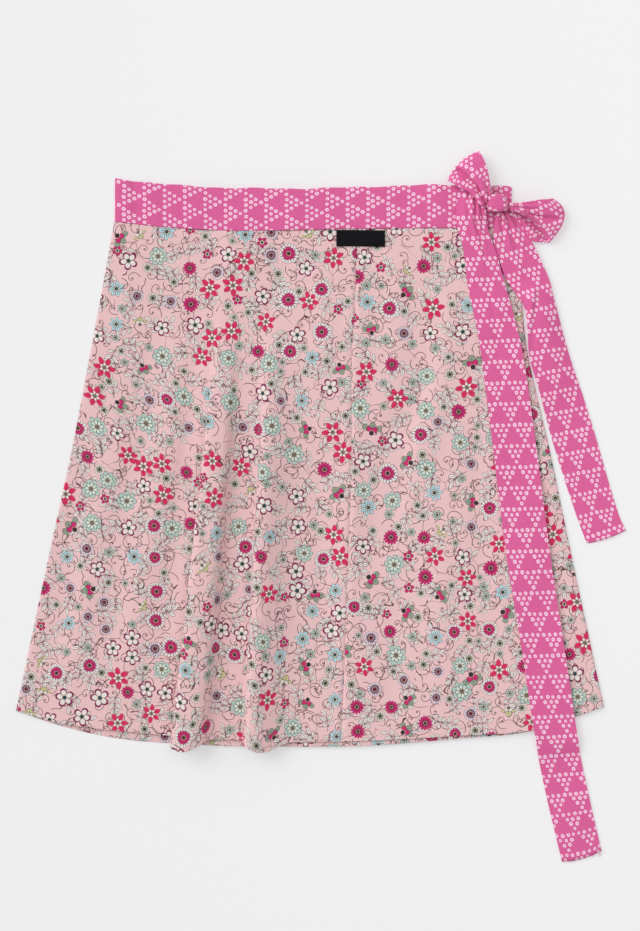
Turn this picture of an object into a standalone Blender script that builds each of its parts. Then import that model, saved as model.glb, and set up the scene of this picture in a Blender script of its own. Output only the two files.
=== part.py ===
"""Cotton wrap skirt with a tied waistband, laid flat on a table.

Millimetres are used below and turned into metres when a mesh is made.
X runs across the skirt, Y from the hem up to the waist, Z up from the table.
Places across the skirt are shares of its width, 0 at the left fold and 1 at the
right fold; places down the skirt are shares of its length, 0 at the waist seam
and 1 at the hem.
"""
import math
from collections import namedtuple

import bmesh
import bpy
from mathutils import Vector

for item in list(bpy.data.objects):
    bpy.data.objects.remove(item, do_unlink=True)

MM = 0.001

# Walls and clearances.
PANEL_WALL = 1.2
BAND_WALL = 1.8
TIE_WALL = 1.6
PATCH_WALL = 0.8
GAP = 0.3

# Outline of the skirt: where its two side folds lie, by share of the way down.
Side = namedtuple("Side", "down left right")
SIDES = [
    Side(0.00, -208.5, 193.0),
    Side(0.15, -222.0, 202.4),
    Side(0.26, -232.0, 208.5),
    Side(0.46, -251.0, 230.5),
    Side(0.69, -275.5, 253.5),
    Side(1.00, -308.0, 285.7),
]

# Height on the page of each long edge, by share of the way across.
Across = namedtuple("Across", "share band_top waist_seam front_hem back_hem")
ACROSS = [
    Across(0.00, 331.3, 288.0, -206.5, -206.5),
    Across(0.08, 327.5, 284.0, -219.5, -222.5),
    Across(0.18, 323.6, 280.8, -227.0, -235.0),
    Across(0.30, 321.5, 278.5, -233.0, -240.5),
    Across(0.45, 320.7, 279.0, -237.5, -242.5),
    Across(0.60, 322.0, 280.3, -236.5, -241.5),
    Across(0.75, 324.0, 281.0, -231.5, -234.5),
    Across(0.88, 324.5, 281.3, -225.5, -226.5),
    Across(1.00, 322.7, 281.5, -202.5, -202.5),
]

# The two deep folds of the outer front. Each climbs steeply from its foot to its
# crest, leans over its foot, and falls to its toe; it hangs lower at the hem.
Fold = namedtuple("Fold", "foot crest toe height lean starts full hem_drop")
FOLDS = [
    Fold(0.262, 0.288, 0.344, 13.0, 5.0, 0.12, 0.50, 15.0),
    Fold(0.374, 0.402, 0.482, 11.0, 4.0, 0.14, 0.55, 11.0),
]

# Cut lines of the outer front and the underlap, as shares across.
SEAM_AT_WAIST = 0.612
SEAM_AT_HEM = 0.553
FRONT_EDGE = 0.918
UNDERLAP_EDGE = 0.320
STEP_START = 0.220
STEP_END = 0.300

# The underside of each layer away from the waist, and how far it climbs there to
# meet its own layer of waistband.
UNDER_BASE = PANEL_WALL + GAP
OUTER_BASE = UNDER_BASE + PANEL_WALL + GAP
UNDER_LIFT = 0.9
OUTER_LIFT = 1.5
LIFT_REACH = 0.10

# Waistband: one strip folded round both sides, three layers deep on the right.
BAND_PITCH = BAND_WALL + GAP
BAND_FRONT_END = 150.0
BAND_STEP = 16.0
TURN_STEPS = 6

# Blank woven patch under the waist seam.
PATCH_LEFT = 15.5
PATCH_WIDTH = 49.0
PATCH_HEIGHT = 16.5
PATCH_DROP = 1.5

# Ties: each row is one section from the knot to the free end. The two edge points
# are followed by their heights above the table, the rise of the middle over the
# line between them, and how far the middle runs ahead of that line.
Section = namedtuple("Section", "ax ay az bx by bz rise bow")
LONG_TIE = [
    Section(137.0, 312.5, 7.4, 158.0, 312.5, 8.6, 2.0, 0),
    Section(136.0, 297.0, 7.3, 163.0, 297.0, 8.4, 2.0, 0),
    Section(136.9, 283.0, 7.3, 166.7, 283.0, 7.6, 1.5, 0),
    Section(141.4, 268.0, 6.9, 172.2, 268.0, 6.9, 1.2, 0),
    Section(144.6, 252.0, 6.0, 178.0, 252.0, 6.0, 1.0, 0),
    Section(148.0, 223.0, 5.4, 185.8, 223.0, 5.4, 0.8, 0),
    Section(156.0, 186.0, 5.4, 196.4, 186.0, 5.4, 0.5, 0),
    Section(162.6, 147.0, 5.4, 204.8, 147.0, 5.4, 0.0, 0),
    Section(173.7, 57.0, 5.4, 217.7, 57.0, 5.4, 0.0, 0),
    Section(186.4, -45.0, 5.4, 230.8, -45.0, 5.4, 0.0, 0),
    Section(199.4, -124.0, 5.4, 242.8, -124.0, 5.4, 0.0, 0),
    Section(212.9, -213.0, 5.4, 256.0, -213.0, 5.4, 0.0, 0),
    Section(217.0, -237.0, 5.2, 259.6, -236.0, 5.2, 0.0, 0),
    Section(220.6, -258.0, 1.0, 263.0, -256.0, 1.0, 0.0, 0),
    Section(229.5, -300.0, 0.8, 271.5, -296.0, 0.8, 0.0, 0),
    Section(243.6, -359.0, 0.8, 283.4, -347.8, 0.8, 0.0, 3.0),
]
SHORT_TIE = [
    Section(177.0, 296.0, 6.6, 190.5, 296.0, 6.6, 1.2, 0),
    Section(174.7, 282.0, 5.6, 203.0, 282.0, 5.4, 1.2, 0),
    Section(174.3, 265.5, 5.0, 213.6, 265.5, 4.6, 0.8, 0),
    Section(180.4, 247.0, 4.6, 223.5, 245.0, 3.8, 0.5, 0),
    Section(187.0, 229.0, 4.2, 230.8, 228.0, 3.4, 0.5, 0),
    Section(197.5, 213.5, 4.2, 234.8, 212.0, 3.0, 3.0, 0),
    Section(206.8, 196.0, 4.2, 239.6, 193.0, 2.6, 5.0, 0),
    Section(210.0, 153.0, 4.0, 251.5, 150.0, 1.8, 3.0, 0),
    Section(220.4, 116.5, 3.6, 264.6, 112.0, 1.2, 0.5, 0),
    Section(232.9, 70.0, 1.6, 278.9, 66.0, 0.8, 0.0, 0),
    Section(245.6, 29.0, 0.8, 290.9, 24.0, 0.8, 0.0, 0),
    Section(257.9, -8.0, 0.8, 301.2, -9.0, 0.8, 0.0, 0),
    Section(268.7, -37.4, 0.8, 308.0, -24.0, 0.8, 0.0, 2.0),
]

# Bow loops: out along the lower leaf, round the turn, back along the upper leaf.
UPPER_LOOP = [
    Section(160.5, 312.3, 7.6, 168.6, 316.5, 7.6, 0.5, 0),
    Section(148.5, 319.0, 7.7, 168.4, 330.0, 6.4, 0.5, 0),
    Section(139.5, 323.0, 7.5, 166.6, 342.5, 5.0, 0.5, 1.0),
    Section(131.0, 327.0, 7.2, 161.8, 354.0, 4.2, 0.0, 3.5),
    Section(127.8, 328.6, 9.8, 159.4, 358.2, 7.4, 0.0, 4.5),
    Section(131.0, 326.5, 12.4, 161.6, 354.0, 10.6, 0.5, 3.5),
    Section(139.0, 321.0, 13.6, 166.8, 341.0, 12.6, 2.0, 1.0),
    Section(148.0, 317.2, 14.0, 169.0, 328.0, 13.6, 2.0, 0),
    Section(159.4, 310.8, 13.6, 169.4, 315.6, 13.6, 1.0, 0),
]
SIDE_LOOP = [
    Section(188.8, 303.0, 7.4, 194.0, 298.5, 7.2, 0.5, 0),
    Section(203.0, 304.0, 5.4, 208.0, 284.5, 4.6, 0.5, 0),
    Section(219.0, 307.3, 3.4, 218.2, 270.8, 2.8, 0.5, 3.0),
    Section(230.0, 309.0, 2.8, 228.4, 268.2, 2.4, 0.0, 11.0),
    Section(232.3, 310.6, 6.4, 230.6, 267.2, 5.0, 0.0, 14.5),
    Section(230.0, 309.5, 10.0, 228.8, 269.4, 7.6, 0.5, 11.0),
    Section(219.0, 308.5, 12.4, 219.6, 281.0, 10.0, 1.5, 3.0),
    Section(205.0, 306.0, 13.6, 208.2, 291.4, 12.4, 1.5, 0),
    Section(189.4, 304.6, 13.8, 190.6, 298.6, 13.4, 0.5, 0),
]

# Knot, resting on the right end of the waistband.
KNOT_CENTRE = (177.4, 305.4)
KNOT_SIZE = (19.4, 18.6, 14.6)
KNOT_BASE = 2 * BAND_PITCH
KNOT_SQUARENESS = 0.75

# How finely each kind of piece is faceted.
PANEL_ROWS = 13
FLAT_COLUMNS = 12
FOLD_COLUMNS = 9
RIBBON_STEPS = 3
RIBBON_COLUMNS = 5


def smooth(value):
    """Ease from 0 to 1 as value goes from 0 to 1."""
    value = max(0.0, min(1.0, value))
    return value * value * (3.0 - 2.0 * value)


def blend(start, end, share):
    return start + (end - start) * share


def curve_through(values, keys, at):
    """Read a smooth curve through values placed at rising keys."""
    last = len(keys) - 1
    at = max(keys[0], min(keys[last], at))
    left = max(i for i in range(last) if keys[i] <= at or i == 0)
    slopes = []
    for i in (left, left + 1):
        before, after = max(0, i - 1), min(last, i + 1)
        slopes.append((values[after] - values[before]) / (keys[after] - keys[before]))
    span = keys[left + 1] - keys[left]
    t = (at - keys[left]) / span
    rise = values[left + 1] - values[left]
    inner = slopes[0] * span * (1.0 - t) ** 2 * t - slopes[1] * span * t * t * (1.0 - t)
    return values[left] + rise * smooth(t) + inner


def read(rows, column, at):
    """Read one named column of a table whose first column is the place."""
    keys = [row[0] for row in rows]
    values = [getattr(row, column) for row in rows]
    return curve_through(values, keys, at)


def page_point(share, down, hem):
    """X and Y of a place on the skirt laid flat; hem names the hem's column."""
    left = read(SIDES, "left", down)
    right = read(SIDES, "right", down)
    top = read(ACROSS, "waist_seam", share) - GAP
    bottom = read(ACROSS, hem, share)
    return blend(left, right, share), blend(top, bottom, down)


def near_waist(down):
    return 1.0 - smooth(down / LIFT_REACH)


def over_underlap(share):
    return smooth((share - STEP_START) / (STEP_END - STEP_START))


def back_surface(share, down):
    x, y = page_point(share, down, "back_hem")
    return Vector((x, y, PANEL_WALL / 2.0))


def under_surface(share, down):
    x, y = page_point(share, down, "back_hem")
    height = UNDER_BASE + UNDER_LIFT * near_waist(down)
    return Vector((x, y, height + PANEL_WALL / 2.0))


def fold_shape(fold, share, down):
    """How far a fold lifts the cloth at a place, from 0 to 1."""
    strength = smooth((down - fold.starts) / (fold.full - fold.starts))
    if share < fold.crest:
        return strength * smooth((share - fold.foot) / (fold.crest - fold.foot))
    return strength * smooth((fold.toe - share) / (fold.toe - fold.crest))


def hem_sag(fold, share, down):
    """How far the cloth of a fold hangs below the hem beside it."""
    place = (share - fold.foot) / (fold.toe - fold.foot)
    if place <= 0.0 or place >= 1.0:
        return 0.0
    return fold.hem_drop * math.sin(math.pi * place) * down ** 4


def outer_surface(share, down):
    x, y = page_point(share, down, "front_hem")
    over = over_underlap(share)
    height = blend(UNDER_BASE, OUTER_BASE, over)
    height += blend(UNDER_LIFT, OUTER_LIFT, over) * near_waist(down)
    for fold in FOLDS:
        lift = fold_shape(fold, share, down)
        height += fold.height * lift
        x -= fold.lean * lift
        y -= hem_sag(fold, share, down)
    return Vector((x, y, height + PANEL_WALL / 2.0))


def make_material(name, colour, roughness):
    material = bpy.data.materials.new(name)
    material.use_nodes = True
    shader = material.node_tree.nodes["Principled BSDF"]
    shader.inputs["Base Color"].default_value = (*colour, 1.0)
    shader.inputs["Roughness"].default_value = roughness
    shader.inputs["Metallic"].default_value = 0.0
    material.diffuse_color = (*colour, 1.0)
    return material


def add_object(name, mesh_data, material):
    mesh = bpy.data.meshes.new(name)
    mesh_data.to_mesh(mesh)
    mesh_data.free()
    mesh.materials.append(material)
    mesh.shade_smooth()
    mesh.set_sharp_from_angle(angle=math.radians(40))
    item = bpy.data.objects.new(name, mesh)
    bpy.context.collection.objects.link(item)
    return item


def grid_normals(grid):
    """Upward unit normals of a grid of points, from its neighbouring points."""
    rows, columns = len(grid), len(grid[0])
    normals = []
    for r in range(rows):
        line = []
        for c in range(columns):
            across = grid[r][min(c + 1, columns - 1)] - grid[r][max(c - 1, 0)]
            along = grid[min(r + 1, rows - 1)][c] - grid[max(r - 1, 0)][c]
            line.append(along.cross(across).normalized())
        normals.append(line)
    return normals


def wall_from_grid(name, grid, wall, material):
    """Close a sheet of the given wall round a grid that is its middle surface."""
    rows, columns = len(grid), len(grid[0])
    normals = grid_normals(grid)
    mesh_data = bmesh.new()
    sides = []
    for sign in (1.0, -1.0):
        side = []
        for points, turns in zip(grid, normals):
            line = [point + turn * (sign * wall / 2.0) for point, turn in zip(points, turns)]
            side.append([mesh_data.verts.new(point * MM) for point in line])
        sides.append(side)
    top, under = sides
    for r in range(rows - 1):
        for c in range(columns - 1):
            mesh_data.faces.new((top[r][c], top[r + 1][c], top[r + 1][c + 1], top[r][c + 1]))
            mesh_data.faces.new((under[r][c], under[r][c + 1], under[r + 1][c + 1], under[r + 1][c]))
    rim = [(0, c) for c in range(columns)]
    rim += [(r, columns - 1) for r in range(1, rows)]
    rim += [(rows - 1, c) for c in range(columns - 2, -1, -1)]
    rim += [(r, 0) for r in range(rows - 2, 0, -1)]
    for (r0, c0), (r1, c1) in zip(rim, rim[1:] + rim[:1]):
        mesh_data.faces.new((top[r0][c0], top[r1][c1], under[r1][c1], under[r0][c0]))
    bmesh.ops.recalc_face_normals(mesh_data, faces=mesh_data.faces)
    return add_object(name, mesh_data, material)


def spread(start, end, count):
    """Count evenly spaced values from start to end, both included."""
    return [blend(start, end, i / (count - 1)) for i in range(count)]


def build_panel(name, surface, shares_at, material):
    """A skirt panel: shares_at gives its columns at each share of the way down."""
    grid = []
    for down in spread(0.0, 1.0, PANEL_ROWS):
        grid.append([surface(share, down) for share in shares_at(down)])
    return wall_from_grid(name, grid, PANEL_WALL, material)


def seam_share(down):
    return blend(SEAM_AT_WAIST, SEAM_AT_HEM, down)


def half_gap(down):
    """Half the gap at a seam, as a share of the skirt's width there."""
    return GAP / 2.0 / (read(SIDES, "right", down) - read(SIDES, "left", down))


def whole_width(down):
    return spread(0.0, 1.0, FLAT_COLUMNS)


def underlap_width(down):
    return spread(UNDERLAP_EDGE, 1.0, FLAT_COLUMNS)


def outer_left_width(down):
    shares = spread(0.0, FOLDS[0].foot, 8)[:-1]
    for fold in FOLDS:
        shares += spread(fold.foot, fold.crest, FOLD_COLUMNS // 2)[:-1]
        shares += spread(fold.crest, fold.toe, FOLD_COLUMNS)
    return shares + spread(FOLDS[-1].toe, seam_share(down) - half_gap(down), 4)[1:]


def outer_right_width(down):
    return spread(seam_share(down) + half_gap(down), FRONT_EDGE, FLAT_COLUMNS)


def band_share(x):
    return (x - SIDES[0].left) / (SIDES[0].right - SIDES[0].left)


def band_run(start, end, height):
    """Centre line of one flat run of the waistband, as X and Z pairs."""
    count = max(2, round(abs(end - start) / BAND_STEP) + 1)
    return [(x, height(band_share(x))) for x in spread(start, end, count)]


def band_turn(x, low, high, side):
    """Half circle that joins two runs at a side fold; side is -1 left, 1 right."""
    radius = (high - low) / 2.0
    points = []
    for angle in spread(0.0, math.pi, TURN_STEPS + 1)[1:-1]:
        points.append((x + side * radius * math.sin(angle), (low + high) / 2.0 - radius * math.cos(angle)))
    return points


def build_waistband(material):
    half = BAND_WALL / 2.0
    back = half
    under = half + BAND_PITCH
    turn = half + BAND_PITCH / 2.0
    left, right = SIDES[0].left + turn, SIDES[0].right - turn

    def outer_height(share):
        return under + BAND_PITCH * over_underlap(share)

    underlap_end = blend(SIDES[0].left, SIDES[0].right, UNDERLAP_EDGE)
    path = band_run(BAND_FRONT_END, left, outer_height)
    path += band_turn(left, back, under, -1.0)[::-1]
    path += band_run(left, right, lambda share: back)
    path += band_turn(right, back, under, 1.0)
    path += band_run(right, underlap_end, lambda share: under)
    grid = []
    for x, z in path:
        share = band_share(x)
        top = read(ACROSS, "band_top", share)
        seam = read(ACROSS, "waist_seam", share)
        grid.append([Vector((x, y, z)) for y in spread(seam, top, 3)])
    return wall_from_grid("waistband", grid, BAND_WALL, material)


def build_patch(material):
    """The blank patch lies on the outer front, made from that panel's points."""
    width = SIDES[0].right - SIDES[0].left
    rise = PANEL_WALL / 2.0 + GAP + PATCH_WALL / 2.0
    grid = []
    for drop in spread(PATCH_DROP, PATCH_DROP + PATCH_HEIGHT, 4):
        line = []
        for x in spread(PATCH_LEFT, PATCH_LEFT + PATCH_WIDTH, 6):
            share = (x - SIDES[0].left) / width
            top = read(ACROSS, "waist_seam", share)
            down = drop / (top - read(ACROSS, "front_hem", share))
            under = outer_surface(share, down)
            line.append(Vector((x, top - drop, under.z + rise)))
        grid.append(line)
    return wall_from_grid("label_patch", grid, PATCH_WALL, material)


def ribbon_line(section, forward):
    """One section of a ribbon, its middle raised and run ahead of its edges."""
    start = Vector((section.ax, section.ay, section.az))
    end = Vector((section.bx, section.by, section.bz))
    line = []
    for share in spread(0.0, 1.0, RIBBON_COLUMNS):
        crown = 4.0 * share * (1.0 - share)
        point = start.lerp(end, share) + forward * (section.bow * crown)
        point.z = max(point.z + section.rise * crown, TIE_WALL / 2.0)
        line.append(point)
    return line


def section_at(rows, place):
    """A section read smoothly between the rows of a ribbon's table."""
    keys = list(range(len(rows)))
    values = [curve_through([row[i] for row in rows], keys, place) for i in range(len(rows[0]))]
    return Section(*values)


def build_ribbon(name, rows, material, ahead=None):
    """A tie or loop; its middles run ahead along its length, or along ahead."""
    count = (len(rows) - 1) * RIBBON_STEPS + 1
    grid = []
    for place in spread(0.0, len(rows) - 1.0, count):
        section = section_at(rows, place)
        chord = Vector((section.bx - section.ax, section.by - section.ay, 0)).normalized()
        forward = ahead if ahead else Vector((chord.y, -chord.x, 0))
        grid.append(ribbon_line(section, forward))
    return wall_from_grid(name, grid, TIE_WALL, material)


def build_knot(material):
    """A pulled-tight knot: a ball with flattened sides."""
    mesh_data = bmesh.new()
    bmesh.ops.create_uvsphere(mesh_data, u_segments=20, v_segments=12, radius=1.0)
    half = [size / 2.0 for size in KNOT_SIZE]
    middle = (*KNOT_CENTRE, KNOT_BASE + half[2])
    for vert in mesh_data.verts:
        for axis in range(3):
            value = vert.co[axis]
            squared = math.copysign(abs(value) ** KNOT_SQUARENESS, value)
            vert.co[axis] = (middle[axis] + half[axis] * squared) * MM
    bmesh.ops.recalc_face_normals(mesh_data, faces=mesh_data.faces)
    return add_object("knot", mesh_data, material)


def main():
    floral = make_material("floral_cotton", (0.78, 0.49, 0.52), 0.85)
    dotted = make_material("dotted_cotton", (0.66, 0.11, 0.31), 0.80)
    woven = make_material("black_label", (0.01, 0.01, 0.012), 0.70)
    build_panel("back_panel", back_surface, whole_width, floral)
    build_panel("underlap_front", under_surface, underlap_width, floral)
    build_panel("outer_front_left", outer_surface, outer_left_width, floral)
    build_panel("outer_front_right", outer_surface, outer_right_width, floral)
    build_waistband(dotted)
    build_patch(woven)
    build_ribbon("tie_long", LONG_TIE, dotted)
    build_ribbon("tie_short", SHORT_TIE, dotted)
    build_ribbon("bow_loop_upper", UPPER_LOOP, dotted, Vector((-0.69, 0.72, 0.0)))
    build_ribbon("bow_loop_side", SIDE_LOOP, dotted, Vector((0.95, 0.31, 0.0)))
    build_knot(dotted)


main()
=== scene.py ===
import math
import random
from collections import namedtuple

import bmesh
import bpy
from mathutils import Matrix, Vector, noise


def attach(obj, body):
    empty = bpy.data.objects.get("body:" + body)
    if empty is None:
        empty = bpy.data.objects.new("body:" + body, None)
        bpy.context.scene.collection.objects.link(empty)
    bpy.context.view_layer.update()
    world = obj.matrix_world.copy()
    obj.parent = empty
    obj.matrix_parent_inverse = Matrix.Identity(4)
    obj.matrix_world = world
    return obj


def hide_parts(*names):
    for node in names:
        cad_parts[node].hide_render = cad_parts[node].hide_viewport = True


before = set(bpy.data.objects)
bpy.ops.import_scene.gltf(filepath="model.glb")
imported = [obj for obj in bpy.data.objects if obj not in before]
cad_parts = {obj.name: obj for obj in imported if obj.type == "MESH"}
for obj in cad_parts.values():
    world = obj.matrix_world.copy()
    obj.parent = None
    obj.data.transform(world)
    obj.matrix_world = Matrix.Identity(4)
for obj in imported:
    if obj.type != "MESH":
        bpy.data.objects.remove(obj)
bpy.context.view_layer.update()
mm = 0.001
print("frame loaded")

# Lengths in the tables are millimetres. "share" runs 0 to 1 from the left side fold
# to the right one, "down" 0 to 1 from the waist seam to the hem.
skirt = {
    "clothWall": 0.8,
    "bandWall": 1.3,
    "tieWall": 1.2,
    "panelWall": 1.2,   # wall of the frame's own panels, which the shells sit inside
    "underBase": 1.9,
    "outerBase": 3.8,
    "underLift": 0.5,
    "outerLift": 0.7,
    "layerGap": 1.0,    # least distance between the middles of two layers
    "backBase": 0.45,
    "backLow": 0.42,    # these hold the middle of each layer's wall in its place
    "backHigh": 0.62,
    "underLow": 1.45,
    "outerLow": 1.4,
    "outerLowOver": 2.4,
    "tieLow": 0.75,
    "backMeet": 1.4,    # where the layers meet at a side fold
    "frontMeet": 1.55,
    "liftReach": 0.10,
    "stepStart": 0.22,
    "stepEnd": 0.30,
    "underlapEdge": 0.32,
    "frontEdge": 0.918,
    "seamAtWaist": 0.612,
    "seamAtHem": 0.553,
    "bandBase": 0.9,
    "bandPitch": 2.1,
    "bandFrontEnd": 150.0,
    "bandStep": 4.0,
    "sideRoll": 3.0,    # how far in from a side the two layers start to turn into each other
    "hemDepth": 13.0,
    "hemRise": 0.35,
}
sideFolds = {
    "down": [0.00, 0.15, 0.26, 0.46, 0.69, 1.00],
    "left": [-208.5, -222.0, -232.0, -251.0, -275.5, -308.0],
    "right": [193.0, 202.4, 208.5, 230.5, 253.5, 285.7],
}
longEdges = {
    "share": [0.00, 0.08, 0.18, 0.30, 0.45, 0.60, 0.75, 0.88, 1.00],
    "bandTop": [331.3, 327.5, 323.6, 321.5, 320.7, 322.0, 324.0, 324.5, 322.7],
    "waistSeam": [288.0, 284.0, 280.8, 278.5, 279.0, 280.3, 281.0, 281.3, 281.5],
    "frontHem": [-206.5, -219.5, -227.0, -233.0, -237.5, -236.5, -231.5, -225.5, -202.5],
    "backHem": [-206.5, -222.5, -235.0, -240.5, -242.5, -241.5, -234.5, -226.5, -202.5],
}

# The two deep folds. "over" and "up" trace one section across the fold where the skirt
# is sectionWidth wide, from the line where the cloth tucks in under it.
sectionWidth = 560.0
deepFolds = [
    {
        "line": 0.272, "starts": 0.10, "full": 0.52, "hemDrop": 13.0, "hemDrift": -5.5, "hemGrow": 0.12,
        "over": [-10, -4, 2.0, 4.8, 4.2, 1.6, 0.4, 2.4, 7.0, 13, 19, 24, 28, 31, 33.6, 37.5, 44],
        "up": [0, 0.1, 0.5, 1.8, 4.4, 7.6, 10.4, 12.8, 14.0, 14.0, 13.6, 12.6, 10.4, 6.8, 3.2, 0.9, 0],
    },
    {
        "line": 0.386, "starts": 0.12, "full": 0.55, "hemDrop": 10.0, "hemDrift": -3.0, "hemGrow": 0.16,
        "over": [-8, -2.5, 1.0, 2.2, 2.4, 3.6, 7.0, 12, 18, 25, 33, 41, 49, 56],
        "up": [0, 0.2, 0.9, 3.4, 6.8, 10.4, 12.8, 13.3, 11.8, 8.8, 5.4, 2.6, 0.8, 0],
    },
]

# Soft troughs and ridges pressed into the panels: a path of (share, down) points, the
# reach to either side of it and its height, a trough being negative.
frontCreases = [
    ([(.80, .17), (.753, .31), (.693, .41), (.64, .59), (.615, .69)], 15, -2.6),
    ([(.84, .10), (.80, .27), (.74, .40), (.70, .52)], 17, 1.8),
    ([(.70, .02), (.71, .14), (.69, .27)], 13, 1.2),
    ([(.86, .30), (.85, .52), (.83, .74)], 14, -1.3),
    ([(.76, .56), (.74, .78), (.735, 1.0)], 18, 1.6),
    ([(.665, .66), (.65, .84), (.64, 1.0)], 14, -1.2),
    ([(.60, .30), (.585, .55), (.57, .80)], 12, 1.1),
    ([(.515, .36), (.52, .62), (.525, .92)], 13, -1.4),
    ([(.53, .05), (.525, .20), (.53, .33)], 12, 0.9),
    ([(.44, .03), (.42, .10), (.40, .19)], 10, -0.9),
    ([(.205, .22), (.195, .45), (.18, .72), (.175, 1.0)], 15, 1.7),
    ([(.235, .12), (.237, .32), (.24, .60), (.235, .9)], 9, -1.2),
    ([(.145, .10), (.14, .35), (.13, .66)], 12, -1.3),
    ([(.085, .30), (.08, .58), (.085, 1.0)], 14, 1.5),
    ([(.05, .06), (.06, .20), (.10, .33)], 10, 0.9),
    ([(.02, .48), (.035, .70), (.04, .95)], 10, -0.9),
    ([(.30, .02), (.29, .08), (.285, .16)], 9, 0.8),
]
backCreases = [
    ([(.22, .16), (.20, .45), (.16, .80), (.15, 1.0)], 17, 0.8),
    ([(.47, .26), (.48, .55), (.47, 1.0)], 15, 0.7),
    ([(.33, .05), (.36, .22), (.35, .40)], 12, 0.5),
    ([(.62, .10), (.66, .42), (.70, .77)], 14, 0.7),
    ([(.83, .33), (.86, .64), (.88, .96)], 13, 0.6),
    ([(.57, .60), (.585, .82), (.58, 1.0)], 11, 0.6),
]

# Ties and bow, in sections from the knot outwards: the two edge points with their
# heights, the rise of the middle over them and how far the middle runs ahead, both
# nought where they are left out.
Section = namedtuple("Section", "ax ay az bx by bz rise bow", defaults=(0.0, 0.0))


def sections(*rows):
    return [Section(*row) for row in rows]


longTie = sections(
    (142.0, 325.5, 7.0, 167.0, 317.5, 7.2, 0.2),
    (137.6, 313.5, 7.2, 165.2, 310.0, 8.4, 1.4),
    (136.0, 297.0, 7.3, 166.2, 297.0, 8.8, 2.0),
    (136.9, 283.0, 7.3, 167.4, 283.0, 7.6, 1.5),
    (141.4, 268.0, 6.9, 172.2, 268.0, 6.9, 1.2),
    (144.6, 252.0, 6.0, 178.0, 252.0, 6.0, 1.0),
    (148.0, 223.0, 5.4, 185.8, 223.0, 5.4, 0.8),
    (156.0, 186.0, 5.4, 196.4, 186.0, 5.4, 0.5),
    (162.6, 147.0, 5.4, 204.8, 147.0, 5.4),
    (173.7, 57.0, 5.4, 217.7, 57.0, 5.4),
    (186.4, -45.0, 5.4, 230.8, -45.0, 5.4),
    (199.4, -124.0, 5.4, 242.8, -124.0, 5.4),
    (212.9, -213.0, 5.4, 256.0, -213.0, 5.4),
    (217.0, -237.0, 5.2, 259.6, -236.0, 5.2),
    (220.6, -258.0, 1.0, 263.0, -256.0, 1.0),
    (229.5, -300.0, 0.8, 271.5, -296.0, 0.8),
    (243.6, -359.0, 0.8, 283.4, -347.8, 0.8, 0.0, 3.0),
)
shortTie = sections(
    (177.0, 296.0, 6.6, 190.5, 296.0, 6.6, 1.2),
    (174.7, 282.0, 5.6, 203.0, 282.0, 5.4, 1.2),
    (174.3, 265.5, 5.0, 213.6, 265.5, 4.6, 0.8),
    (180.4, 247.0, 4.6, 223.5, 245.0, 3.8, 0.5),
    (187.0, 229.0, 4.2, 230.8, 228.0, 3.4, 0.5),
    (197.5, 213.5, 4.2, 234.8, 212.0, 3.0, 3.0),
    (206.8, 196.0, 4.2, 239.6, 193.0, 2.6, 5.0),
    (210.0, 153.0, 4.0, 251.5, 150.0, 1.8, 3.0),
    (220.4, 116.5, 3.6, 264.6, 112.0, 1.2, 0.5),
    (232.9, 70.0, 1.6, 278.9, 66.0, 0.8),
    (245.6, 29.0, 0.8, 290.9, 24.0, 0.8),
    (257.9, -8.0, 0.8, 301.2, -9.0, 0.8),
    (268.7, -37.4, 0.8, 308.0, -24.0, 0.8, 0.0, 2.0),
)
upperLoop = sections(
    (160.5, 312.3, 9.6, 168.6, 316.5, 9.6, 0.3),
    (148.5, 319.0, 9.5, 168.4, 330.0, 8.0, 0.3),
    (139.5, 323.0, 8.9, 166.6, 342.5, 6.0, 0.5, 1.0),
    (131.0, 327.0, 7.2, 161.8, 354.0, 4.2, 0.0, 3.5),
    (127.8, 328.6, 9.8, 159.4, 358.2, 7.4, 0.0, 4.5),
    (131.0, 326.5, 12.4, 161.6, 354.0, 10.6, 0.5, 3.5),
    (139.0, 321.0, 13.6, 166.8, 341.0, 12.6, 2.0, 1.0),
    (149.5, 315.6, 14.0, 169.4, 326.5, 13.6, 2.0),
    (161.8, 301.5, 13.0, 171.0, 313.5, 13.2, 1.0),
)
sideLoop = sections(
    (188.8, 303.0, 7.0, 194.5, 293.0, 5.4, 0.5),
    (203.0, 304.0, 5.0, 202.0, 278.0, 3.0, 0.5),
    (219.0, 307.3, 3.4, 212.0, 268.6, 2.2, 0.5, 2.0),
    (230.0, 309.0, 2.8, 226.0, 266.6, 2.0, 0.0, 11.0),
    (232.3, 310.6, 6.4, 230.6, 267.2, 5.0, 0.0, 14.5),
    (230.0, 309.5, 10.0, 228.8, 269.4, 7.6, 0.5, 11.0),
    (219.0, 308.5, 12.4, 219.6, 281.0, 10.0, 1.5, 3.0),
    (205.0, 306.0, 13.6, 208.2, 291.4, 12.4, 1.5),
    (189.4, 304.6, 13.8, 190.6, 298.6, 13.4, 0.5),
)


def ease(value):
    value = max(0.0, min(1.0, value))
    return value * value * (3.0 - 2.0 * value)


def bell(away, reach, above=None):
    # a rounded swell, with its own reach on the far side where that is given
    return math.exp(-(away / (reach if above is None or away < 0.0 else above)) ** 2)


def runAlong(points):
    # how far along a line each of its points lies
    runs = [0.0]
    for a, b in zip(points, points[1:]):
        runs.append(runs[-1] + ((b - a).length if isinstance(a, Vector) else math.dist(a, b)))
    return runs


def between(start, end, share):
    return start + (end - start) * share


def evenly(start, end, count):
    return [between(start, end, i / (count - 1)) for i in range(count)]


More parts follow.
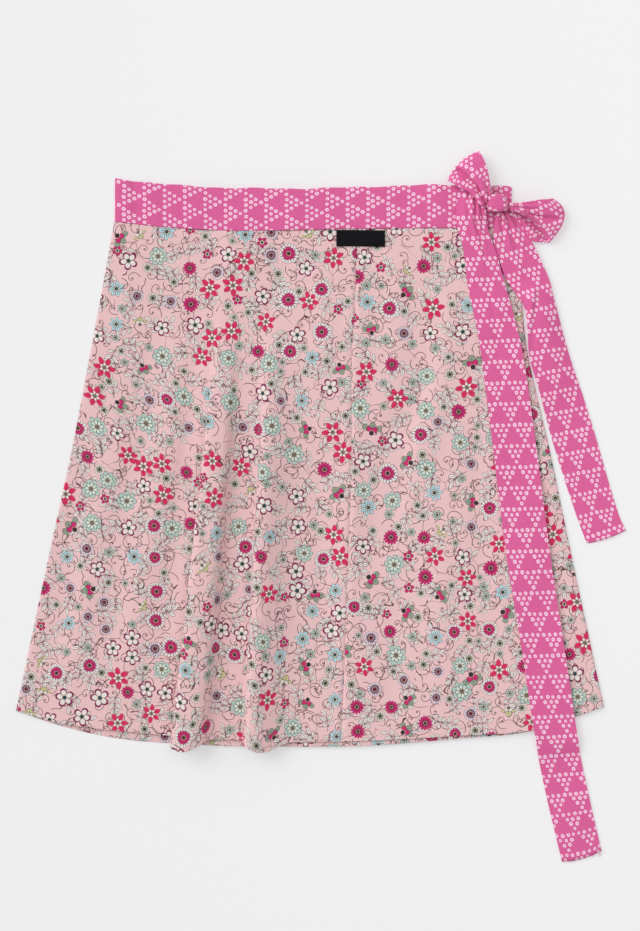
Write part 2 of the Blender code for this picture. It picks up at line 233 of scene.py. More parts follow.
def curveThrough(values, keys, at):
    last = len(keys) - 1
    at = max(keys[0], min(keys[last], at))
    left = max(i for i in range(last) if keys[i] <= at or i == 0)
    slopes = []
    for i in (left, left + 1):
        before, after = max(0, i - 1), min(last, i + 1)
        slopes.append((values[after] - values[before]) / (keys[after] - keys[before]))
    span = keys[left + 1] - keys[left]
    t = (at - keys[left]) / span
    inner = slopes[0] * span * (1.0 - t) ** 2 * t - slopes[1] * span * t * t * (1.0 - t)
    return values[left] + (values[left + 1] - values[left]) * ease(t) + inner


def readTable(table, column, at):
    return curveThrough(table[column], next(iter(table.values())), at)


def sidesAt(down):
    return [readTable(sideFolds, side, down) for side in ("left", "right")]


def edgesAt(share, *names):
    return [readTable(longEdges, name, share) for name in names]


def lengthAt(share, hem):
    seam, low = edgesAt(share, "waistSeam", hem)
    return seam - low


def waistShare(x):
    return (x - sideFolds["left"][0]) / (sideFolds["right"][0] - sideFolds["left"][0])


def pagePoint(share, down, hem):
    seam, low = edgesAt(share, "waistSeam", hem)
    return between(*sidesAt(down), share), between(seam - 0.3, low, down)


def nearWaist(down):
    return 1.0 - ease(down / skirt["liftReach"])


def overUnderlap(share):
    return ease((share - skirt["stepStart"]) / (skirt["stepEnd"] - skirt["stepStart"]))


def seamShare(down):
    return between(skirt["seamAtWaist"], skirt["seamAtHem"], down)


def placeCreases(creases, hem):
    placed = []
    for spots, reach, height in creases:
        path = [Vector(pagePoint(share, down, hem)) for share, down in spots]
        lengths = [(b - a).length for a, b in zip(path, path[1:])]
        placed.append((path, lengths, sum(lengths), reach, height))
    return placed


def creaseHeight(placed, x, y):
    total = 0.0
    spot = Vector((x, y))
    for path, lengths, whole, reach, height in placed:
        nearest, along, run = 1e9, 0.0, 0.0
        for start, end, length in zip(path, path[1:], lengths):
            step = end - start
            t = max(0.0, min(1.0, (spot - start).dot(step) / (length * length)))
            away = (spot - start - step * t).length
            if away < nearest:
                nearest, along = away, run + t * length
            run += length
        if nearest < 2.6 * reach:
            total += height * ease(min(along, whole - along) / (0.35 * whole) + 0.12) * bell(nearest, reach)
    return total


def makePuckers(seed, count, low, high):
    luck = random.Random(seed)
    puckers = []
    for i in range(count):
        share = (i + luck.uniform(0.15, 0.85)) / count
        puckers.append((share, luck.uniform(low, high), luck.uniform(3.0, 6.5), luck.uniform(12.0, 42.0)))
    return puckers


def puckerHeight(puckers, share, drop, width):
    total = 0.0
    for centre, height, reach, length in puckers:
        away = (share - centre) * width
        if abs(away) < 3.0 * reach and drop < length:
            total += height * bell(away, reach) * (1.0 - drop / length) ** 2
    return total


# A section of a deep fold is read by its own length, so the print isn't stretched.
for fold in deepFolds:
    runs = runAlong(list(zip(fold["over"], fold["up"])))
    fold["along"] = [run / runs[-1] for run in runs]


def foldPoint(fold, t, down):
    strength = ease((down - fold["starts"]) / (fold["full"] - fold["starts"]))
    over = curveThrough(fold["over"], fold["along"], t)
    flat = between(fold["over"][0], fold["over"][-1], t)
    grow = 1.0 + fold["hemGrow"] * ease((down - 0.5) / 0.5)
    up = curveThrough(fold["up"], fold["along"], t) * strength * grow
    drift = fold["hemDrift"] * 4.0 * t * (1.0 - t) * down ** 3
    return between(flat, over, strength) + drift, max(up, 0.0)


def foldSpan(fold):
    return [fold["line"] + fold["over"][i] / sectionWidth for i in (0, -1)]


frontMarks = placeCreases(frontCreases, "frontHem")
backMarks = placeCreases(backCreases, "backHem")
frontPuckers = makePuckers(11, 26, -0.55, 0.7)
backPuckers = makePuckers(23, 24, -0.1, 0.45)


def rollIn(x, down, height, meet):
    # near a side fold a layer turns towards the one it is joined to
    left, right = sidesAt(down)
    away = min(x - left, right - x)
    if away >= skirt["sideRoll"]:
        return height
    t = 1.0 - max(away, 0.0) / skirt["sideRoll"]
    return between(height, meet, 1.0 - math.sqrt(max(0.0, 1.0 - t * t)))


def hemLift(drop):
    # the turned hem is two layers thick
    return skirt["hemRise"] * ease((skirt["hemDepth"] - drop) / 1.2)


def unevenness(x, y):
    broad = noise.noise(Vector((x * 0.016, y * 0.010, 3.1)))
    fine = noise.noise(Vector((x * 0.05, y * 0.022, 7.7)))
    return 0.55 * broad + 0.22 * fine


def outerHeight(x, y, share, down):
    over, near = overUnderlap(share), nearWaist(down)
    height = between(skirt["underBase"], skirt["outerBase"], over) + skirt["panelWall"] / 2
    height += between(skirt["underLift"], skirt["outerLift"], over) * near
    height += (1.3 * creaseHeight(frontMarks, x, y) + unevenness(x, y)) * (1.0 - 0.6 * near)
    return max(height, between(skirt["outerLow"], skirt["outerLowOver"], over))


pressedSeam = {"groove": 0.9, "grooveReach": 1.3, "welt": 0.5, "weltAway": 5.0, "weltReach": 3.5}


def outerPlace(column, down):
    kind, share = column[0], column[1]
    left, right = sidesAt(down)
    lift, sag, foldX = 0.0, 0.0, None
    if kind == "fold":
        fold, t = column[1], column[2]
        over, lift = foldPoint(fold, t, down)
        share = between(*foldSpan(fold), t)
        foldX = left + (right - left) * (fold["line"] + over / sectionWidth)
        sag = fold["hemDrop"] * math.sin(math.pi * ease((t - 0.08) / 0.84)) * down ** 4
    elif kind == "seamLeft":
        share = between(foldSpan(deepFolds[1])[1], seamShare(down), column[1])
    elif kind == "seamRight":
        share = between(seamShare(down), skirt["frontEdge"], column[1])
    x, y = pagePoint(share, down, "frontHem")
    height = outerHeight(x, y, share, down)
    length = lengthAt(share, "frontHem")
    height += puckerHeight(frontPuckers, share, down * length, right - left)
    seamAway = abs(share - seamShare(down)) * (right - left)
    height -= pressedSeam["groove"] * bell(seamAway, pressedSeam["grooveReach"])
    height += pressedSeam["welt"] * bell(seamAway - pressedSeam["weltAway"], pressedSeam["weltReach"])
    height += hemLift((1.0 - down) * length) + lift
    x = x if foldX is None else foldX
    return Vector((x, y - sag, rollIn(x, down, height, skirt["frontMeet"]))), y


def underPlace(column, down):
    share = column[1]
    x, y = pagePoint(share, down, "backHem")
    height = skirt["underBase"] + skirt["underLift"] * nearWaist(down) + skirt["panelWall"] / 2
    height += 0.5 * creaseHeight(frontMarks, x, y) + 0.3 * unevenness(x + 90.0, y)
    if share < skirt["frontEdge"]:
        height = min(height, outerHeight(x, y, share, down) - skirt["layerGap"])
    height = max(height + hemLift((1.0 - down) * lengthAt(share, "backHem")), skirt["underLow"])
    return Vector((x, y, rollIn(x, down, height, skirt["frontMeet"]))), y


def backPlace(column, down):
    share = column[1]
    x, y = pagePoint(share, down, "backHem")
    left, right = sidesAt(down)
    drop = down * lengthAt(share, "backHem")
    height = skirt["backBase"] + creaseHeight(backMarks, x, y)
    height += puckerHeight(backPuckers, share, drop, right - left)
    height = min(max(height, skirt["backLow"]), skirt["backHigh"])
    return Vector((x, y, rollIn(x, down, height, skirt["backMeet"]))), y


def makePiece(name, bm):
    for face in bm.faces:
        face.smooth = True
    mesh = bpy.data.meshes.new(name)
    bm.to_mesh(mesh)
    bm.free()
    piece = bpy.data.objects.new(name, mesh)
    bpy.context.collection.objects.link(piece)
    return piece


def clothRows(count):
    # a narrow first and last row keep the shading of the cut edge narrow
    return [0.0, 0.0012] + evenly(0.006, 0.994, count - 4) + [0.9988, 1.0]


def addGrid(name, points, cloth, wall):
    # cloth holds each point's place on the flat cut, in millimetres
    rows, columns = len(points), len(points[0])
    bm = bmesh.new()
    bmesh.ops.create_grid(bm, x_segments=columns - 1, y_segments=rows - 1, size=0.5)
    printMap = bm.loops.layers.uv.new("clothPlace")
    bakeMap = bm.loops.layers.uv.new("OFBake")
    where = {}
    for vert in bm.verts:
        where[vert.index] = (round((0.5 - vert.co.y) * (rows - 1)), round((vert.co.x + 0.5) * (columns - 1)))
    for vert in bm.verts:
        row, column = where[vert.index]
        vert.co = points[row][column] * mm
    spots = [spot for row in cloth for spot in row]
    lows = [min(spot[i] for spot in spots) for i in range(2)]
    highs = [max(spot[i] for spot in spots) for i in range(2)]
    for face in bm.faces:
        for loop in face.loops:
            row, column = where[loop.vert.index]
            spot = cloth[row][column]
            loop[printMap].uv = [spot[i] * mm for i in range(2)]
            loop[bakeMap].uv = [0.004 + 0.992 * (spot[i] - lows[i]) / (highs[i] - lows[i]) for i in range(2)]
    piece = makePiece(name, bm)
    piece.data.uv_layers["OFBake"].active_render = True
    shell = piece.modifiers.new("wall", "SOLIDIFY")
    shell.thickness = wall * mm
    shell.offset = 0.0
    shell.use_even_offset = True
    return piece


def panelCloth(points, levels, reference, shift):
    # across the cloth by true length from the reference column, down it by the flat page
    cloth = []
    for row, heights in zip(points, levels):
        runs = runAlong([(point.x, point.z) for point in row])
        start = row[reference].x - runs[reference] + shift[0]
        cloth.append([(start + run, y + shift[1]) for run, y in zip(runs, heights)])
    return cloth


def addPanel(name, columns, place, reference, shift):
    placed = [[place(column, down) for column in columns] for down in clothRows(120)]
    points = [[point for point, _ in row] for row in placed]
    levels = [[level for _, level in row] for row in placed]
    return addGrid(name, points, panelCloth(points, levels, reference, shift), skirt["clothWall"])


def flatColumns(start, end, count):
    edge = 0.0012
    middle = evenly(start + 4 * edge, end - 4 * edge, count - 4)
    return [("flat", share) for share in [start, start + edge] + middle + [end - edge, end]]


def leftColumns():
    first, second = deepFolds
    toFold = [0.0, 0.0012, 0.003, 0.006] + evenly(0.012, foldSpan(first)[0], 42)[:-1]
    toSeam = evenly(0.0, 0.94, 20)[1:] + [0.96, 0.975, 0.985, 0.992, 0.9985]
    columns = [("flat", share) for share in toFold]
    columns += [("fold", first, t) for t in evenly(0.0, 1.0, 48)]
    columns += [("flat", share) for share in evenly(foldSpan(first)[1], foldSpan(second)[0], 6)[1:-1]]
    columns += [("fold", second, t) for t in evenly(0.0, 1.0, 44)]
    return columns + [("seamLeft", t) for t in toSeam]


def rightColumns():
    near = [0.0004, 0.003, 0.007, 0.012, 0.02, 0.03]
    return [("seamRight", t) for t in near + evenly(0.045, 0.99, 70) + [0.997, 1.0]]


# Each panel's print is laid from one of its columns, and shifted so that no two match.
leftSet, rightSet = leftColumns(), rightColumns()
underSet, backSet = flatColumns(skirt["underlapEdge"], 1.0, 90), flatColumns(0.0, 1.0, 120)
outerLeft = addPanel("outer_front_left_cloth", leftSet, outerPlace, len(leftSet) - 1, (0, 0))
outerRight = addPanel("outer_front_right_cloth", rightSet, outerPlace, 0, (137, -61))
underlap = addPanel("underlap_front_cloth", underSet, underPlace, len(underSet) - 1, (-212, 83))
back = addPanel("back_panel_cloth", backSet, backPlace, len(backSet) // 2, (73, 149))
print("panels laid")

bandDents = [    # where along the band, how far it reaches and how high, mm
    (-200.0, 7.0, 4.0), (-186.5, 4.0, -1.2), (-172.0, 9.0, 1.2), (-120.0, 14.0, 1.1), (-88.0, 12.0, -0.8),
    (-30.0, 18.0, 1.0), (22.0, 12.0, -0.8), (58.0, 16.0, 1.0), (96.0, 10.0, -0.9), (120.0, 9.0, 1.2),
]
bandPrint = {"width": 43.0, "up": 6.0, "stretch": 1.018, "back": 5.2}


def bandDent(x):
    return sum(height * bell(x - place, reach) for place, reach, height in bandDents)


def bandRun(start, end, height):
    count = max(2, round(abs(end - start) / skirt["bandStep"]) + 1)
    return [(x, height(waistShare(x))) for x in evenly(start, end, count)]


def bandTurn(x, low, high, side):
    radius = (high - low) / 2.0
    return [
        (x + side * radius * math.sin(angle), (low + high) / 2.0 - radius * math.cos(angle))
        for angle in evenly(0.0, math.pi, 9)[1:-1]
    ]


def buildBand():
    back, under = skirt["bandBase"], skirt["bandBase"] + skirt["bandPitch"]
    turn = (back + under) / 2.0
    left, right = sideFolds["left"][0] + turn, sideFolds["right"][0] - turn
    underEnd = between(sideFolds["left"][0], sideFolds["right"][0], skirt["underlapEdge"])

    def outerLevel(share):
        return under + skirt["bandPitch"] * overUnderlap(share)

    path = bandRun(skirt["bandFrontEnd"], left, outerLevel)
    path += bandTurn(left, back, under, -1.0)[::-1]
    path += bandRun(left, right, lambda share: back)
    path += bandTurn(right, back, under, 1.0)
    path += bandRun(right, underEnd, lambda share: under)
    path = path[::-1]
    runs = runAlong(path)
    outerStart = runs[-1] - (skirt["bandFrontEnd"] - left)
    rowShares = [0.0, 0.012, 0.04] + evenly(0.09, 0.91, 11) + [0.96, 0.988, 1.0]
    points, cloth = [], []
    for rowShare in reversed(rowShares):
        line, flat = [], []
        for (x, z), run in zip(path, runs):
            top, seam = edgesAt(waistShare(x), "bandTop", "waistSeam")
            top += 0.5 * math.sin(x / 13.0) + 0.35 * math.sin(x / 5.7 + 1.0)
            onOuter = ease((run - outerStart) / 20.0)
            wave = 0.45 * math.sin(x / 19.0 + 2.0) + 0.3 * math.sin(x / 7.3) * (1.0 - rowShare)
            crown = -0.35 * abs(2.0 * rowShare - 1.0) ** 8 * onOuter
            dent = bandDent(x + 6.0 * (rowShare - 0.5)) * (0.45 + 0.55 * rowShare)
            line.append(Vector((x, between(seam, top, rowShare), z + onOuter * (wave + dent + 0.5) + crown)))
            along = (run - outerStart) * bandPrint["stretch"] - bandPrint["back"]
            flat.append((rowShare * bandPrint["width"] + bandPrint["up"], along))
        points.append(line)
        cloth.append(flat)
    return addGrid("waistband_cloth", points, cloth, skirt["bandWall"])


waistband = buildBand()
print("waistband made")

# the ring print's triangles: from one row of them to the next, and between their rows
ringRow = {"rowsEach": 20.9, "row": 5.1}


def sectionAt(rows, place):
    keys = list(range(len(rows)))
    return Section(*[curveThrough([row[i] for row in rows], keys, place) for i in range(8)])


def ribbonGrid(rows, steps, columns, shapeOf, ahead):
    shares = [0.0, 0.006, 0.02, 0.05] + evenly(0.09, 0.91, columns) + [0.95, 0.98, 0.994, 1.0]
    middle = len(shares) // 2
    grid = []
    for place in evenly(0.0, len(rows) - 1.0, (len(rows) - 1) * steps + 1):
        section = sectionAt(rows, place)
        start = Vector((section.ax, section.ay, section.az))
        end = Vector((section.bx, section.by, section.bz))
        chord = (end - start).normalized()
        forward = ahead if ahead else Vector((chord.y, -chord.x, 0)).normalized()
        line = []
        for share in shares:
            crown = 4.0 * share * (1.0 - share)
            point = start.lerp(end, share) + forward * (section.bow * crown)
            point.z += section.rise * crown
            point += shapeOf(place, share, chord)
            point.z = max(point.z, skirt["tieLow"])
            line.append(point)
        grid.append(line)
    return grid, runAlong([line[middle] for line in grid]), middle


# Where the ring print falls on each ribbon: how far across it a triangle is centred, the
# section a row of triangles is set on, whether that row is a shifted one, how much the
# run is stretched, from where on and by how much more, and how square the rows lie.
RingPlace = namedtuple(
    "RingPlace", "across section shifted stretch laterFrom laterStretch square",
    defaults=(0.0, 0, 1.0, 900.0, 1.0, 0.0),
)


def buildRibbon(name, rows, steps, columns, shapeOf, lay, ahead=None, flip=False):
    grid, runs, middle = ribbonGrid(rows, steps, columns, shapeOf, ahead)

    def printRun(run):
        return run * lay.stretch + max(0.0, run - lay.laterFrom) * (lay.laterStretch - lay.stretch)

    anchor = printRun(runs[round(lay.section * steps)])
    anchor -= ringRow["rowsEach"] * lay.shifted + ringRow["row"] / 2
    cloth = []
    side = -1.0 if flip else 1.0
    for i, (line, run) in enumerate(zip(grid, runs)):
        across = runAlong(line)
        onwards = (grid[min(i + 1, len(grid) - 1)][middle] - grid[max(i - 1, 0)][middle]).normalized()
        skew = (line[-1] - line[0]).normalized().dot(onwards) * lay.square
        cloth.append([
            (lay.across + side * (u - across[middle]), printRun(run) - anchor + skew * (u - across[middle]))
            for u in across
        ])
    return addGrid(name, grid, cloth, skirt["tieWall"]), runs[-1]


# Gathers run out of the knot: where they sit across the ribbon, how far they reach to
# either side (a share of the width), how high, and how many sections they last.
longGathers = [
    (.12, .05, .05, -0.9, 3.2), (.28, .08, .05, 1.2, 3.6), (.43, .05, .05, -1.8, 4.2),
    (.54, .07, .03, 3.4, 5.8), (.62, .03, .05, -3.8, 5.6), (.745, .045, .025, 3.4, 4.8),
    (.82, .02, .04, -3.4, 4.2), (.92, .05, .03, 2.2, 3.6),
]
shortGathers = [
    (.12, .05, .04, 1.6, 2.6), (.26, .03, .05, -2.4, 3.6), (.42, .06, .03, 2.2, 4.2),
    (.55, .03, .05, -2.4, 3.6), (.72, .06, .03, 2.2, 3.0), (.84, .03, .05, -1.8, 2.4),
]
upperGathers = [
    (.16, .06, .06, 1.2, 2.6), (.30, .04, .06, -2.2, 2.8), (.78, .03, .05, -3.0, 2.6),
    (.90, .05, .04, 1.8, 2.2),
]
sideGathers = [
    (.14, .05, .04, -1.6, 2.8), (.28, .07, .03, 2.2, 3.4), (.41, .03, .06, -2.4, 3.2),
    (.86, .05, .05, 1.8, 2.8),
]


def gatherRise(gathers, place, share):
    rise = 0.0
    for centre, below, above, height, lasts in gathers:
        fade = max(0.0, 1.0 - place / lasts)
        rise += height * fade * bell(share - centre, below, above)
    return rise


def longShape(place, share, chord):
    # the first section is tucked flat under the upper loop
    wave = 0.45 * math.sin(place * 2.1) * math.sin(math.pi * share)
    wave += 0.3 * math.sin(place * 3.7 + 4.0 * share)
    dip = -0.8 * bell(share - between(.62, .40, (place - 5.0) / 3.0), .08, .08) * bell(place - 6.0, 1.0, 2.5)
    gathers = gatherRise(longGathers, place, share) * ease(place / 1.3)
    return Vector((0, 0, gathers + (wave + dip) * ease((place - 4.5) / 2.0) + 0.25))


def shortShape(place, share, chord):
    wave = 0.4 * math.sin(place * 2.6 + 1.0) * math.sin(math.pi * share)
    wave += 0.25 * math.sin(place * 4.1 + 3.0 * share)
    ridge = 3.8 * bell(share - max(0.0, .42 - .28 * (place - 5.0)), .20, .08) * bell(place - 5.8, 1.2, 1.3)
    return Vector((0, 0, gatherRise(shortGathers, place, share) + wave * ease((place - 3.0) / 2.0) + ridge))


def upperShape(place, share, chord):
    # The top layer of this loop has one deep crease from its outer end to the knot, and
    # the cloth above it hangs over it.
    front = ease((place - 4.2) / 0.9)
    toKnot = (place - 4.2) / 3.8
    away = share - between(.33, .60, toKnot)
    depth = between(3.4, 6.2, toKnot) * front
    crease = depth * (0.42 * bell(away - .13, .07, .20) - bell(away, .22, .03))
    hang = chord * (-between(1.2, 3.4, toKnot) * front * bell(away - .075, .06, .10))
    gathers = gatherRise(upperGathers, min(place, 8.0 - place), share) * (1.0 if place > 4 else 0.3)
    return hang + Vector((0, 0, crease + gathers))


def sideShape(place, share, chord):
    front = ease((place - 4.4) / 0.8)
    toKnot = (place - 4.4) / 3.6
    away = share - between(.52, .66, toKnot)
    depth = between(1.8, 5.0, toKnot)
    trough = depth * (0.3 * bell(away + .14, .12, .06) - bell(away, .05, .13))
    hang = chord * (between(0.6, 2.2, toKnot) * front * bell(away + .06, .08, .05))
    rim = 1.6 * bell(share - 0.88, .06, .05) - 4.6 * ease((share - 0.92) / 0.08)
    rim *= bell(place - 6.0, 1.7, 1.6)
    # the under layer shows as a strip that swells up beyond the top layer's rim
    strip = 4.6 * bell(share - (.59 + .225 * (place - 1.0)), .06, .17) * bell(place - 1.8, 1.1, 0.8)
    gathers = gatherRise(sideGathers, min(place, 8.0 - place), share) * (1.0 if place > 4 else 0.3)
    return hang + Vector((0, 0, (trough + rim) * front + strip + gathers))


tieLong, longRun = buildRibbon(
    "tie_long_cloth", longTie, 14, 31, longShape, RingPlace(11.5, 10.0, 1, 0.978, 505.0, 1.03, 0.21)
)
tieShort, shortRun = buildRibbon(
    "tie_short_cloth", shortTie, 12, 31, shortShape, RingPlace(3.0, 8.8, 0, 0.98, 900.0, 0.98, 0.75)
)
loopUpper, upperRun = buildRibbon(
    "bow_loop_upper_cloth", upperLoop, 14, 45, upperShape, RingPlace(6.0),
    ahead=Vector((-0.69, 0.72, 0.0)),
)
loopSide, sideRun = buildRibbon(
    "bow_loop_side_cloth", sideLoop, 14, 45, sideShape, RingPlace(14.0),
    ahead=Vector((0.95, 0.31, 0.0)), flip=True,
)
print("ties and loops made, runs", [round(run) for run in (longRun, shortRun, upperRun, sideRun)])

knotLook = {
    "centre": (177.2, 305.3),
    "reach": 10.6,         # half the wrap's way across the knot
    "base": 4.6,
    "height": 13.6,
    "top": 8.2,            # from the centre to the wrap's upper and lower edge
    "bottom": 8.0,
    "lean": 0.16,
    "pleats": [(.13, .05, 1.0), (.80, .045, 1.5), (.92, .035, 1.1)],    # share across, reach, depth
    "wrapLow": 2.0,
    "core": (8.8, 8.8, 5.4),
    "coreUp": 5.6,
    "printBack": 6.5,
}


def buildKnotWrap():
    # the band of cloth pulled over the knot, from its left side up and down to the right
    cx, cy = knotLook["centre"]
    shares = [0.0, 0.012, 0.04, 0.08] + evenly(0.12, 0.88, 27) + [0.92, 0.96, 0.988, 1.0]
    points, cloth = [], []
    for turn in evenly(-0.08 * math.pi, 1.08 * math.pi, 41):
        side = -math.cos(turn)
        x = math.copysign(abs(side) ** 0.80, side) * knotLook["reach"]
        z = knotLook["base"] + knotLook["height"] * math.copysign(abs(math.sin(turn)) ** 0.72, math.sin(turn))
        pinch = 1.0 - 0.16 * abs(side) ** 2
        line = []
        for share in shares:
            across = between(knotLook["top"], -knotLook["bottom"], share) * pinch
            edge = abs(2.0 * share - 1.0)
            drop = 2.6 * edge ** 7
            for centre, reach, depth in knotLook["pleats"]:
                drop += depth * bell(share - centre, reach) * (0.35 + 0.65 * abs(side) ** 1.5)
            bulge = 1.0 - 0.05 * edge ** 3
            lift = 0.5 * math.sin(3.0 * share + 2.0 * turn)
            line.append(Vector((
                cx + x * bulge - knotLook["lean"] * across, cy + across + 0.05 * x,
                max(z - drop + lift, knotLook["wrapLow"]),
            )))
        points.append(line)
    middle = len(shares) // 2
    runs = runAlong([line[middle - 1] for line in points])
    for line, run in zip(points, runs):
        across = runAlong(line)
        cloth.append([(u - across[middle], run - knotLook["printBack"]) for u in across])
    return addGrid("knot_wrap_cloth", points, cloth, skirt["tieWall"]), runs[-1]


def buildKnotCore():
    # the bunched cloth inside the wrap, seen past its two edges
    bm = bmesh.new()
    bmesh.ops.create_uvsphere(bm, u_segments=64, v_segments=32, radius=1.0)
    printMap = bm.loops.layers.uv.new("clothPlace")
    cx, cy = knotLook["centre"]
    middle = knotLook["base"] + knotLook["coreUp"]
    for vert in bm.verts:
        x, y, z = [knotLook["core"][i] * vert.co[i] for i in range(3)]
        z *= 1.0 + 0.12 * math.sin(1.5 * x + 0.4 * y)
        vert.co = Vector((cx + x - knotLook["lean"] * y, cy + y, middle + z)) * mm
    for face in bm.faces:
        for loop in face.loops:
            loop[printMap].uv = (loop.vert.co.x, loop.vert.co.y)
    return makePiece("knot_core_cloth", bm)


knotWrap, wrapRun = buildKnotWrap()
knotCore = buildKnotCore()

label = {
    "left": 15.5, "width": 49.0, "height": 16.5, "drop": 0.9, "tilt": 0.03, "wall": 0.6,
    "over": 5.75,       # its middle over the table, and the stitches' a little higher
    "stitchOver": 6.05,
}


def buildLabel():
    points, cloth = [], []
    for drop in evenly(label["drop"], label["drop"] + label["height"], 16):
        line, flat = [], []
        for x in evenly(label["left"], label["left"] + label["width"], 40):
            top, hem = edgesAt(waistShare(x), "waistSeam", "frontHem")
            height = skirt["outerLift"] * nearWaist(drop / (top - hem)) + label["over"]
            edge = min(x - label["left"], label["left"] + label["width"] - x)
            height += 0.35 * bell(edge, 2.2) + 0.2 * math.sin(x / 9.0 + drop / 6.0)
            line.append(Vector((x, top - drop - label["tilt"] * (x - label["left"]), height)))
            flat.append((x, -drop))
        points.append(line)
        cloth.append(flat)
    return addGrid("label_bare", points, cloth, label["wall"])


labelPatch = buildLabel()
print("knot and label made")

# pitch, length and thickness of the stitches, and how far the hem's lie above its edge
stitch = {"hem": (3.4, 2.3, 0.22), "label": (2.2, 1.5, 0.2), "hemUp": 11.5}


def addStitches(name, line, pitch, length, thick):
    # one short capsule for each stitch along a line of points, joined into one mesh
    bm = bmesh.new()
    carried, previous = 0.0, line[0]
    for point in line[1:]:
        step = point - previous
        while carried + step.length >= pitch:
            place = previous + step * ((pitch - carried) / step.length)
            made = bmesh.ops.create_cube(bm, size=1.0)["verts"]
            turn = Vector((1.0, 0.0, 0.0)).rotation_difference(step).to_matrix()
            for vert in made:
                taper = 0.55 if abs(vert.co.x) > 0.4 else 1.0
                sized = Vector((vert.co.x * length, vert.co.y * thick * taper, vert.co.z * thick))
                vert.co = (place + turn @ sized) * mm
            bmesh.ops.bevel(
                bm, geom=list({edge for vert in made for edge in vert.link_edges}), offset=0.3 * thick * mm,
                offset_type="OFFSET", affect="EDGES", segments=1, profile=0.5, material=-1,
            )
            previous, step, carried = place, point - place, 0.0
        carried += step.length
        previous = point
    return makePiece(name, bm)


def hemLine(columns):
    line = []
    for column in columns:
        share = column[1] if column[0] == "flat" else 0.5
        point, _ = outerPlace(column, 1.0 - stitch["hemUp"] / lengthAt(share, "frontHem"))
        line.append(point + Vector((0, 0, skirt["clothWall"] / 2 + 0.02)))
    return line


hemLeft = addStitches("hem_stitches_left", hemLine(leftSet[4:-3]), *stitch["hem"])
hemRight = addStitches("hem_stitches_right", hemLine(rightSet[3:-2]), *stitch["hem"])


def labelEdge():
    height = skirt["outerLift"] + label["stitchOver"]
    far, low = label["width"] - 1.1, label["height"] - 1.0
    corners = [(2.2, low), (1.1, low), (1.1, 1.2), (far, 1.2), (far, low), (far - 1.1, low)]
    line = []
    for across, drop in corners:
        x = label["left"] + across
        top = readTable(longEdges, "waistSeam", waistShare(x))
        line.append(Vector((x, top - label["drop"] - label["tilt"] * across - drop, height)))
    return line


fray = {"count": 7, "thick": 0.11, "step": 0.75, "steps": 8}


def frayedThreads():
    # a few loose threads at the long tie's lower right corner
    luck = random.Random(5)
    corner = longTie[-1]
    bm = bmesh.new()
    for i in range(fray["count"]):
        start = Vector((corner.bx - 0.4 - 1.1 * i, corner.by + 0.2 - 0.3 * i, 0.9))
        heading = luck.uniform(-1.9, -0.9)
        made = bmesh.ops.create_circle(bm, segments=6, radius=fray["thick"] * mm, cap_ends=True)["verts"]
        forward = Vector((math.cos(heading), math.sin(heading), 0))
        turn = Vector((0, 0, 1)).rotation_difference(forward).to_matrix()
        bmesh.ops.rotate(bm, verts=made, cent=(0, 0, 0), matrix=turn)
        bmesh.ops.translate(bm, verts=made, vec=start * mm)
        ring = [face for face in bm.faces if all(vert in made for vert in face.verts)]
        for step in range(fray["steps"]):
            heading += luck.uniform(-0.35, 0.35)
            out = bmesh.ops.extrude_face_region(bm, geom=ring)["geom"]
            if step:
                bmesh.ops.delete(bm, geom=ring, context="FACES_ONLY")
            ring = [part for part in out if isinstance(part, bmesh.types.BMFace)]
            tip = [part for part in out if isinstance(part, bmesh.types.BMVert)]
            forward = Vector((math.cos(heading), math.sin(heading), 0))
            bmesh.ops.translate(bm, verts=tip, vec=forward * fray["step"] * mm)
    bmesh.ops.recalc_face_normals(bm, faces=bm.faces)
    return makePiece("tie_threads", bm)


labelSewing = addStitches("label_stitches", labelEdge(), *stitch["label"])
threads = frayedThreads()
print("stitches and threads made")


def shaderMath(operation, swapped=False):
    def apply(self, *others):
        values = (self, *others)
        return self.math(operation, *(values[::-1] if swapped else values))
    return apply


